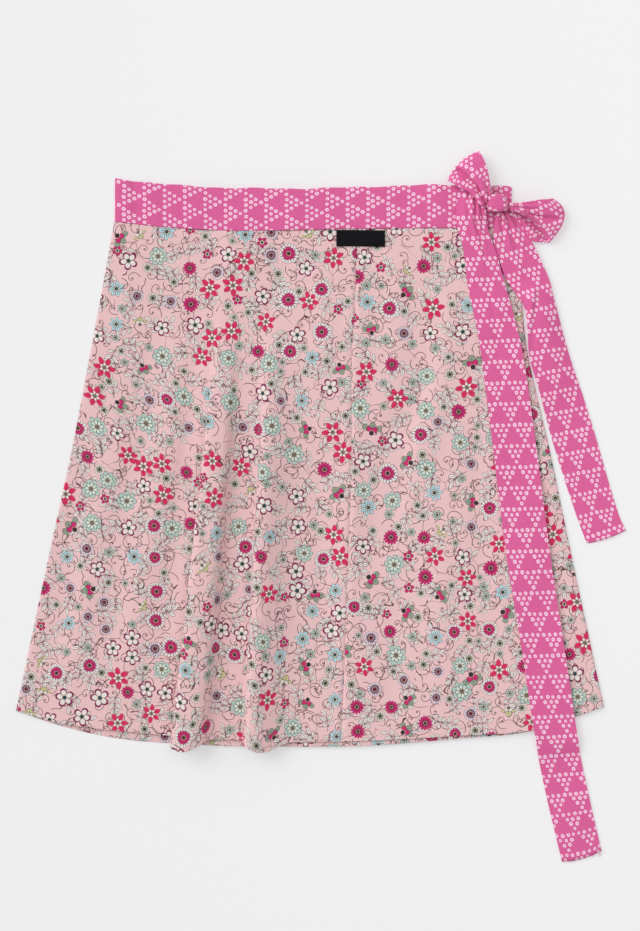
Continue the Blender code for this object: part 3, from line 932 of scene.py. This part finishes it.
class Ink:
    def __init__(self, tree, socket=None):
        self.tree, self.socket = tree, socket

    def make(self, kind, settings=None, inputs=None, output=0):
        node = self.tree.nodes.new(kind)
        for name, value in (settings or {}).items():
            if name == "stops":
                ramp = node.color_ramp
                ramp.interpolation = value[0]
                for i, (place, colour) in enumerate(value[1]):
                    stop = ramp.elements[i] if i < 2 else ramp.elements.new(place)
                    stop.position, stop.color = place, colour
            else:
                setattr(node, name, value)
        for key, value in (inputs or {}).items():
            if isinstance(value, Ink):
                self.tree.links.new(value.socket, node.inputs[key])
            else:
                node.inputs[key].default_value = value
        return Ink(self.tree, node.outputs[output])

    def output(self, name):
        return Ink(self.tree, self.socket.node.outputs[name])

    def math(self, operation, *values):
        return self.make("ShaderNodeMath", {"operation": operation}, dict(enumerate(values)))

    def vector(self, operation, other, output=0):
        inputs = {0: self, "Scale" if operation == "SCALE" else 1: other}
        return self.make("ShaderNodeVectorMath", {"operation": operation}, inputs, output)

    __add__, __radd__ = shaderMath("ADD"), shaderMath("ADD", True)
    __sub__, __rsub__ = shaderMath("SUBTRACT"), shaderMath("SUBTRACT", True)
    __mul__, __rmul__ = shaderMath("MULTIPLY"), shaderMath("MULTIPLY", True)
    __truediv__, __rtruediv__ = shaderMath("DIVIDE"), shaderMath("DIVIDE", True)
    __pow__ = shaderMath("POWER")
    __lt__, __gt__ = shaderMath("LESS_THAN"), shaderMath("GREATER_THAN")
    __abs__ = shaderMath("ABSOLUTE")
    least, most = shaderMath("MINIMUM"), shaderMath("MAXIMUM")
    fraction, floor, round = shaderMath("FRACT"), shaderMath("FLOOR"), shaderMath("ROUND")
    sine = shaderMath("SINE")

    def parts(self):
        split = self.make("ShaderNodeSeparateXYZ", None, {0: self})
        return split, split.output("Y"), split.output("Z")

    def vectorOf(self, x, y):
        return self.make("ShaderNodeCombineXYZ", None, {0: x, 1: y})

    def colour(self, value):
        tone = self.make("ShaderNodeRGB")
        tone.socket.default_value = value
        return tone

    def over(self, *layers):
        # this colour with others laid over it, each a mask and the colour where it is 1
        base = self
        for mask, colour in layers:
            base = self.make("ShaderNodeMix", {"data_type": "RGBA"}, {0: mask, 6: base, 7: colour}, 2)
        return base

    def feed(self, shader, name):
        self.tree.links.new(self.socket, shader.inputs[name])


def dye(red, green, blue):
    # a colour as a screen shows it, made linear
    def linear(value):
        value /= 255.0
        return value / 12.92 if value <= 0.04045 else ((value + 0.055) / 1.055) ** 2.4
    return (linear(red), linear(green), linear(blue), 1.0)


def newFinish(name, roughness, sheen):
    material = bpy.data.materials.new(name)
    material.use_nodes = True
    shader = material.node_tree.nodes["Principled BSDF"]
    shader.inputs["Roughness"].default_value = roughness
    shader.inputs["Sheen Weight"].default_value = sheen
    shader.inputs["Sheen Roughness"].default_value = 0.5
    shader.inputs["Specular IOR Level"].default_value = 0.25
    return material, shader, Ink(material.node_tree)


def clothPlace(ink):
    place = ink.make("ShaderNodeUVMap", {"uv_map": "clothPlace"})
    return place.vector("SCALE", 1.0 / mm)


def flatNoise(ink, place, scale, detail, output=0):
    inputs = {"Vector": place, "Scale": scale, "Detail": detail}
    return ink.make("ShaderNodeTexNoise", {"noise_dimensions": "2D"}, inputs, output)


def addRelief(ink, shader, height, strength):
    inputs = {"Strength": strength, "Distance": weave["depth"], "Height": height}
    ink.make("ShaderNodeBump", None, inputs).feed(shader, "Normal")


weave = {"pitch": 0.42, "strength": 0.35, "depth": 0.0002}


def addWeave(ink, shader, place):
    # over-and-under of the threads with a little unevenness, as a low relief
    x, y, _ = place.parts()
    warp, weft = [(part * (math.pi / weave["pitch"])).sine() for part in (x, y)]
    slub = flatNoise(ink, place, 0.35, 3.0)
    addRelief(ink, shader, warp * weft * 0.5 + slub * 2.2, weave["strength"])
    return slub


# Kinds of flower: their share of the scatter, then the outer petals (how many, how far
# out in mm, how deep the notches between them go, how round their tips are), the inner
# petals in the same way, the turn between the two, the eye, how far round the petals go,
# and the inks of petals, lines, inner petals and eye.
Bloom = namedtuple("Bloom", "share outer inner turn eye fan dyes")
inks = {
    "ground": dye(240, 198, 202),
    "groundDeep": dye(228, 183, 190),
    "groundWarm": dye(237, 200, 195),
    "white": dye(234, 224, 221),
    "mint": dye(182, 204, 194),
    "palest": dye(214, 224, 214),
    "sky": dye(184, 216, 222),
    "sage": dye(146, 158, 138),
    "straw": dye(204, 196, 146),
    "magenta": dye(205, 40, 112),
    "crimson": dye(222, 48, 98),
    "plum": dye(146, 42, 88),
    "mauve": dye(150, 96, 128),
    "lilac": dye(226, 212, 222),
    "wine": dye(104, 30, 60),
    "graphite": dye(54, 46, 54),
    "umber": dye(122, 106, 94),
    "teal": dye(44, 70, 78),
    "stem": dye(92, 70, 74),
    "leafLine": dye(96, 82, 86),
}
blooms = [
    Bloom(.13, (17, 9.6, .30, 2.0), (12, 6.2, .20, 2.0), .5, 1.3, 1, "white graphite magenta graphite"),
    Bloom(.10, (13, 7.0, .28, 2.0), (9, 3.2, .30, 2.0), .5, 1.1, 1, "magenta wine plum graphite"),
    Bloom(.13, (8, 9.2, .32, 2.6), (8, 6.0, .34, 2.2), .5, 1.9, 1, "mint graphite palest umber"),
    Bloom(.14, (5, 8.6, .50, 2.4), (5, 7.2, .58, 2.2), .0, 1.7, 1, "plum wine white teal"),
    Bloom(.14, (6, 10.4, .58, 1.4), (6, 5.0, .55, 1.3), .5, 1.6, 1, "crimson wine white umber"),
    Bloom(.10, (7, 7.6, .50, 1.6), (7, 3.0, .40, 1.2), .5, 1.4, 1, "sky graphite white teal"),
    Bloom(.11, (15, 6.6, .34, 1.8), (10, 3.9, .12, 2.0), .5, 1.5, 1, "lilac graphite mauve wine"),
    Bloom(.09, (7, 11.0, .34, 1.6), (5, 7.2, .40, 1.4), .5, 2.0, .40, "sage graphite magenta graphite"),
    Bloom(.06, (5, 8.0, .36, 1.9), (3, 4.6, .40, 1.5), .5, 1.3, .40, "straw graphite white umber"),
]
smallBlooms = [
    Bloom(.45, (12, 5.4, .40, 1.7), (8, 2.7, .22, 2.0), .5, 1.2, 1, "white graphite sage graphite"),
    Bloom(.20, (8, 4.4, .42, 1.6), (6, 2.2, .20, 2.0), .5, 0.9, 1, "white graphite mint graphite"),
    Bloom(.15, (5, 4.8, .45, 2.0), (5, 2.2, .30, 2.0), .5, 0.9, 1, "magenta wine white graphite"),
    Bloom(.20, (6, 4.6, .45, 2.0), (6, 2.2, .30, 2.0), .5, 0.9, 1, "mint graphite white teal"),
]
outline = 0.42    # half width of the drawn lines, mm


def moved(place, shift, pitch):
    return place.vector("ADD", (shift[0], shift[1], 0.0)).vector("SCALE", 1.0 / pitch)


def cells(ink, spot, loose, feature="F1", output=0):
    settings = {"voronoi_dimensions": "2D", "feature": feature}
    inputs = {"Vector": spot, "Scale": 1.0, "Randomness": loose}
    return ink.make("ShaderNodeTexVoronoi", settings, inputs, output)


def scatter(ink, place, pitch, loose, shift):
    spot = moved(place, shift, pitch)
    cell = cells(ink, spot, loose, output="Position")
    local = spot.vector("SUBTRACT", cell).vector("SCALE", pitch)
    return local, cell.output("Color").parts(), cell


def kindRamp(ink, luck, kinds, read):
    stops, start = [], 0.0
    for kind in kinds:
        stops.append((start, read(kind)))
        start += kind.share
    return ink.make("ShaderNodeValToRGB", {"stops": ("CONSTANT", stops)}, {0: luck})


def turnBy(local, luck):
    inputs = {"Vector": local, "Angle": luck * math.tau}
    return local.make("ShaderNodeVectorRotate", {"rotation_type": "Z_AXIS"}, inputs)


def drawBlooms(ink, base, local, luck, kinds, keep):
    turned = turnBy(local, luck[1])
    kind = luck[0]
    # a ramp holds numbers up to 1, so counts, reaches and roundness go in and out by a scale
    counts = kindRamp(ink, kind, kinds, lambda k: (k.outer[0] / 32, k.inner[0] / 32, k.fan, k.turn))
    turn = counts.output("Alpha")
    reaches = kindRamp(ink, kind, kinds, lambda k: (k.outer[1] / 20, k.inner[1] / 20, k.eye / 20, 1))
    shapes = kindRamp(ink, kind, kinds, lambda k: (k.outer[2], k.inner[2], k.outer[3] / 4, k.inner[3] / 4))
    innerRound = shapes.output("Alpha") * 4.0
    outerCount, innerCount, fan = counts.parts()
    outerCount, innerCount = outerCount * 32.0, innerCount * 32.0
    outerReach, innerReach, eyeReach = [part * 20.0 for part in reaches.parts()]
    outerNotch, innerNotch, outerRound = shapes.parts()
    scale = luck[2] * 0.2 + 0.9
    x, y, _ = turned.parts()
    x = x / scale + (1.0 - fan) * outerReach * 0.5     # a flower seen from the side grows from its foot
    y = y / scale
    away = (x * x + y * y) ** 0.5
    angle = y.math("ARCTAN2", y, x)
    wobble = (angle * 3.0 + luck[1] * 30.0).sine() * 0.035 + 1.0
    inFan = (abs(angle) < fan * 3.15) * keep
    outerGap = abs((angle * outerCount / math.tau + 0.5).fraction() - 0.5) * 2.0
    innerGap = abs((angle * innerCount / math.tau + 0.5 + turn).fraction() - 0.5) * 2.0
    outerEdge = outerReach * wobble * (1.0 - outerNotch * outerGap ** (outerRound * 4.0))
    innerEdge = innerReach * wobble * (1.0 - innerNotch * innerGap ** innerRound)
    petal, petalLine = (away < outerEdge) * inFan, (away < outerEdge + outline) * inFan
    heart, heartLine = (away < innerEdge) * inFan, (away < innerEdge + outline) * inFan
    # thin lines between neighbouring petals, and one up the middle of each
    outerRib = (away * (1.0 - outerGap) * math.pi / outerCount < 0.27) * (away > innerReach * 0.7)
    innerRib = (away * (1.0 - innerGap) * math.pi / innerCount < 0.24) * (away > eyeReach)
    vein = (away * outerGap * math.pi / outerCount < 0.2) * (away < outerReach * 0.74) * (outerCount < 10.0)
    eye = (away < eyeReach) * keep
    eyeLine = (away < eyeReach + 0.25) * keep
    dots = (away < eyeReach + 1.1) * (away > eyeReach + 0.35) * (abs(outerGap - 0.5) < 0.22) * inFan
    petalInk, lineInk, heartInk, eyeInk = [
        kindRamp(ink, kind, kinds, lambda k, i=i: inks[k.dyes.split()[i]]) for i in range(4)
    ]
    return base.over(
        (petalLine, lineInk), (petal, petalInk), (petal * outerRib.most(vein), lineInk),
        (heartLine, lineInk), (heart, heartInk), (heart * innerRib, lineInk),
        (dots, inks["straw"]), (eyeLine, inks["graphite"]), (eye, eyeInk),
    )


def leafMasks(x, y, middle, turn, length, width):
    # a pointed leaf lying along its own axis: its fill, its outline and its midrib
    c, s = math.cos(turn), math.sin(turn)
    along = (x - middle[0]) * c + (y - middle[1]) * s
    across = abs((y - middle[1]) * c - (x - middle[0]) * s)
    half = (1.0 - (along * (2.0 / length)) ** 2) * (width / 2)
    return across < half, across < half + 0.44, (across < 0.17) * (along < length * 0.2)


def drawSprigs(ink, base, place, pitch, shift, share):
    local, luck, _ = scatter(ink, place, pitch, 0.75, shift)
    turned = turnBy(local, luck[1])
    x, y, _ = turned.parts()
    grow = luck[2] * 0.3 + 0.85
    x, y = x / grow, y / grow
    bent = y - x * x * 0.022
    side = abs(bent)
    shown = (abs(x) < 12.0) * (luck[0] < share)
    stalk = (side < 0.26) * (x > -10.5) * (x < 5.0)
    leaves = [
        leafMasks(x, side, (2.1, 3.4), 0.80, 7.6, 3.3),
        leafMasks(x, side, (-3.9, 3.1), 0.86, 6.4, 2.9),
        leafMasks(x, bent, (8.0, 0.0), 0.0, 7.8, 3.4),
    ]
    fill, edge, rib = [first.most(second).most(third) for first, second, third in zip(*leaves)]
    return base.over(
        (shown * stalk, inks["stem"]), (shown * edge, inks["leafLine"]),
        (shown * fill, inks["white"]), (shown * fill * rib, inks["umber"]),
    )


def drawTendrils(ink, base, place, pitch, shift, tightness):
    local, luck, _ = scatter(ink, place, pitch, 0.85, shift)
    x, y, _ = local.parts()
    y = y * ((luck[2] > 0.5) * 2.0 - 1.0)
    away = (x * x + y * y) ** 0.5
    angle = y.math("ARCTAN2", y, x) / math.tau
    swirl = (angle + luck[0] - away.math("LOGARITHM", away, math.e) * (tightness / math.tau)).fraction()
    near = abs(swirl - 0.5) * away * (math.tau / math.hypot(1.0, tightness))
    curl = (near < away * 0.008 + 0.26) * (away > 0.9) * (away < luck[1] * 4.0 + 7.5)
    tip = away < 0.75
    return base.over((curl.most(tip), inks["stem"]))


def drawStems(ink, base, place, pitch, loose, shift, share):
    wander = flatNoise(ink, place, 0.045, 1.0, "Color")
    bent = place.vector("ADD", wander.vector("SUBTRACT", (0.5, 0.5, 0.5)).vector("SCALE", 22.0))
    edge = cells(ink, moved(bent, shift, pitch), loose, "DISTANCE_TO_EDGE")
    broken = flatNoise(ink, place, 0.055, 0.0)
    stem = (edge < broken * 0.7 / pitch) * (broken < share)
    return base.over((stem, inks["stem"]))


def clearOf(ink, cell, pitch, shift, other):
    # 1 where the centre of a cell of one scatter keeps clear of another scatter's centres
    otherPitch, otherLoose, otherShift, room = other
    centre = cell.vector("SCALE", pitch).vector("SUBTRACT", (shift[0], shift[1], 0.0))
    return cells(ink, moved(centre, otherShift, otherPitch), otherLoose) > room / otherPitch


# Stems, curls and sprigs: the pitch of their cells, their shift, and how many are drawn
# or how tight they curl. Each scatter of flowers has the room it keeps from those before.
stemLayer = {"pitch": 25.0, "loose": 0.9, "shift": (9, 77), "share": 0.58}
tendrilLayers = [(21.0, (13, 5), 3.1), (26.0, (71, 43), 2.4), (24.0, (131, 213), 3.6)]
sprigLayers = [(25.0, (3, 29), 0.80), (29.0, (83, 11), 0.74)]
flowerLayers = [
    {"pitch": 34.0, "loose": 0.62, "shift": (0, 0), "kinds": blooms, "room": []},
    {"pitch": 33.0, "loose": 0.66, "shift": (157, 391), "kinds": blooms, "room": [16.5]},
    {"pitch": 24.0, "loose": 0.80, "shift": (51, 34), "kinds": smallBlooms, "room": [12.5, 12.0]},
    {"pitch": 26.0, "loose": 0.80, "shift": (233, 87), "kinds": smallBlooms, "room": [12.5, 12.5, 9.0]},
]


def floralFinish():
    material, shader, ink = newFinish("floral cotton", 0.86, 0.15)
    place = clothPlace(ink)
    slub = addWeave(ink, shader, place)
    mottle = flatNoise(ink, place, 0.03, 3.0)
    base = ink.colour(inks["ground"])
    base = base.over((slub * 0.6, inks["groundDeep"]), (mottle * 0.7, inks["groundWarm"]))
    base = drawStems(ink, base, place, **stemLayer)
    for layer in tendrilLayers:
        base = drawTendrils(ink, base, place, *layer)
    for layer in sprigLayers:
        base = drawSprigs(ink, base, place, *layer)
    for layer in reversed(flowerLayers):
        local, luck, cell = scatter(ink, place, layer["pitch"], layer["loose"], layer["shift"])
        keep = luck[0] > -1.0
        for other, room in zip(flowerLayers, layer["room"]):
            before = (other["pitch"], other["loose"], other["shift"], room)
            keep = keep * clearOf(ink, cell, layer["pitch"], layer["shift"], before)
        base = drawBlooms(ink, base, local, luck, layer["kinds"], keep)
    base.feed(shader, "Base Color")
    return material


rings = {
    "across": 5.75,      # between two rings of a row
    "reach": 1.72,
    "hole": 0.55,
    "ground": dye(227, 104, 161),
    "groundDeep": dye(214, 88, 148),
    "ring": dye(255, 214, 233),
    "holeInk": dye(214, 96, 152),
}


def ringFinish():
    material, shader, ink = newFinish("ring dot cotton", 0.82, 0.2)
    place = clothPlace(ink)
    slub = addWeave(ink, shader, place)
    u, v, _ = place.parts()
    band = (v / ringRow["rowsEach"]).floor()
    period = rings["across"] * 4
    odd = (band * 0.5).fraction() * period     # every second row is shifted by half a triangle
    across = ((u + odd) / period).fraction() * period - period / 2
    rise = v - band * ringRow["rowsEach"]
    row = (rise / ringRow["row"]).floor().least(3.0)
    stagger = (row * 0.5).fraction() * rings["across"] + rings["across"] / 2
    index = ((across - stagger) / rings["across"]).round()
    centre = index * rings["across"] + stagger
    inTriangle = abs(centre) < (3.3 - row) * (rings["across"] / 2)
    seed = ink.vectorOf(index + band * 7.0 + row * 3.0, ((u + odd) / period).floor())
    luck = ink.make("ShaderNodeTexWhiteNoise", {"noise_dimensions": "2D"}, {"Vector": seed}, "Color").parts()
    dx = across - centre + (luck[0] - 0.5) * 0.8
    dy = rise - (row + 0.5) * ringRow["row"] + (luck[1] - 0.5) * 0.8
    away = (dx * dx * 1.12 + dy * dy * 0.9) ** 0.5
    size = luck[2] * 0.3 + 0.88
    ring = (away < size * rings["reach"]) * inTriangle
    hole = (away < size * rings["hole"]) * inTriangle
    base = ink.colour(rings["ground"])
    base = base.over((slub * 0.7, rings["groundDeep"]), (ring, rings["ring"]), (hole, rings["holeInk"]))
    base.feed(shader, "Base Color")
    return material


def labelFinish():
    material, shader, ink = newFinish("black woven tape", 0.7, 0.0)
    shader.inputs["Specular IOR Level"].default_value = 0.12
    place = clothPlace(ink)
    _, y, _ = place.parts()
    rib = (y * 9.0).sine()
    grain = flatNoise(ink, place, 2.0, 2.0)
    ink.colour(dye(8, 7, 10)).over((grain * 0.6, dye(26, 22, 28))).feed(shader, "Base Color")
    addRelief(ink, shader, rib * 0.5 + grain, 0.5)
    return material


def threadFinish(name, tone, deep):
    material, shader, ink = newFinish(name, 0.75, 0.1)
    place = ink.make("ShaderNodeTexCoord", None, None, "Object").vector("SCALE", 1.0 / mm)
    grain = ink.make("ShaderNodeTexNoise", None, {"Vector": place, "Scale": 1.6, "Detail": 2.0})
    ink.colour(tone).over((grain, deep)).feed(shader, "Base Color")
    return material


floral = floralFinish()
ringed = ringFinish()
blackTape = labelFinish()
pinkThread = threadFinish("pale pink thread", dye(228, 178, 184), dye(206, 150, 160))
blackThread = threadFinish("black thread", dye(26, 24, 28), dye(12, 10, 14))
roseThread = threadFinish("rose thread", dye(232, 130, 176), dye(210, 96, 150))
print("finishes made")

dressed = [    # each piece, its finish, its slot and the node that it stands for
    (outerLeft, floral, "floral_cotton", "outer_front_left"),
    (outerRight, floral, "floral_cotton", "outer_front_right"),
    (underlap, floral, "floral_cotton", "underlap_front"),
    (back, floral, "floral_cotton", "back_panel"),
    (waistband, ringed, "dotted_cotton", "waistband"),
    (tieLong, ringed, "dotted_cotton", "tie_long"),
    (tieShort, ringed, "dotted_cotton", "tie_short"),
    (loopUpper, ringed, "dotted_cotton", "bow_loop_upper"),
    (loopSide, ringed, "dotted_cotton", "bow_loop_side"),
    (knotWrap, ringed, "dotted_cotton", "knot"),
    (labelPatch, blackTape, "label_weave", "label_patch"),
    (knotCore, ringed, "dotted_cotton", None),
    (hemLeft, pinkThread, "floral_cotton", None),
    (hemRight, pinkThread, "floral_cotton", None),
    (labelSewing, blackThread, "label_weave", None),
    (threads, roseThread, "dotted_cotton", None),
]
for piece, finish, slotName, node in dressed:
    piece.data.materials.append(finish)
    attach(piece, "root")
    if node:
        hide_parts(node)

view = {
    "centre": (-1.0, 41.4),       # middle of the view on the table, in mm
    "tableReach": 40.0,           # metres
    "height": 940.3,              # of what the view takes in, at the level of the cloth
    "clothLevel": 3.0,
    "lens": 85.0,
    "sensor": 36.0,
    "backdrop": dye(247, 247, 248),
    "skyStrength": 0.605,
    "fillPower": 1.60,            # a wide lamp over the upper right, in watts
    "fillPlace": (450.0, 450.0, 1200.0),
    "fillSize": 0.9,
    "glow": 0.42,                 # how much of the table's colour is its own light
    "glowStrength": 0.391,
    "keyStrength": 1.50,
    "keyAngle": 42.0,
    "keyTurn": (-27.0, -50.0, 0.0),
}


def buildStage():
    bm = bmesh.new()
    bmesh.ops.create_grid(bm, x_segments=1, y_segments=1, size=view["tableReach"])
    floor = makePiece("table_top", bm)
    material, shader, _ = newFinish("pale table", 0.9, 0.0)
    paint, glow = view["backdrop"], view["glow"]
    shader.inputs["Base Color"].default_value = tuple(part * (1.0 - glow) for part in paint[:3]) + (1.0,)
    shader.inputs["Emission Color"].default_value = paint
    shader.inputs["Emission Strength"].default_value = view["glowStrength"]
    floor.data.materials.append(material)
    world = bpy.data.worlds.new("studio")
    world.use_nodes = True
    sky = world.node_tree.nodes["Background"]
    sky.inputs["Color"].default_value = (1.0, 1.0, 1.0, 1.0)
    sky.inputs["Strength"].default_value = view["skyStrength"]
    bpy.context.scene.world = world
    key = bpy.data.objects.new("key light", bpy.data.lights.new("key light", "SUN"))
    key.data.energy = view["keyStrength"]
    key.data.angle = math.radians(view["keyAngle"])
    key.rotation_euler = [math.radians(turn) for turn in view["keyTurn"]]
    fill = bpy.data.objects.new("fill light", bpy.data.lights.new("fill light", "AREA"))
    fill.data.energy = view["fillPower"]
    fill.data.size = view["fillSize"]
    fill.location = Vector(view["fillPlace"]) * mm
    camera = bpy.data.objects.new("camera", bpy.data.cameras.new("camera"))
    camera.data.lens = view["lens"]
    camera.data.sensor_width = view["sensor"]
    distance = view["height"] * view["lens"] / view["sensor"] + view["clothLevel"]
    camera.location = Vector((*view["centre"], distance)) * mm
    camera.data.clip_end = 20.0
    for thing in (key, fill, camera):
        bpy.context.collection.objects.link(thing)
    bpy.context.scene.camera = camera
    bpy.context.scene.view_settings.view_transform = "Standard"


buildStage()
print("stage set")

bpy.context.view_layer.update()
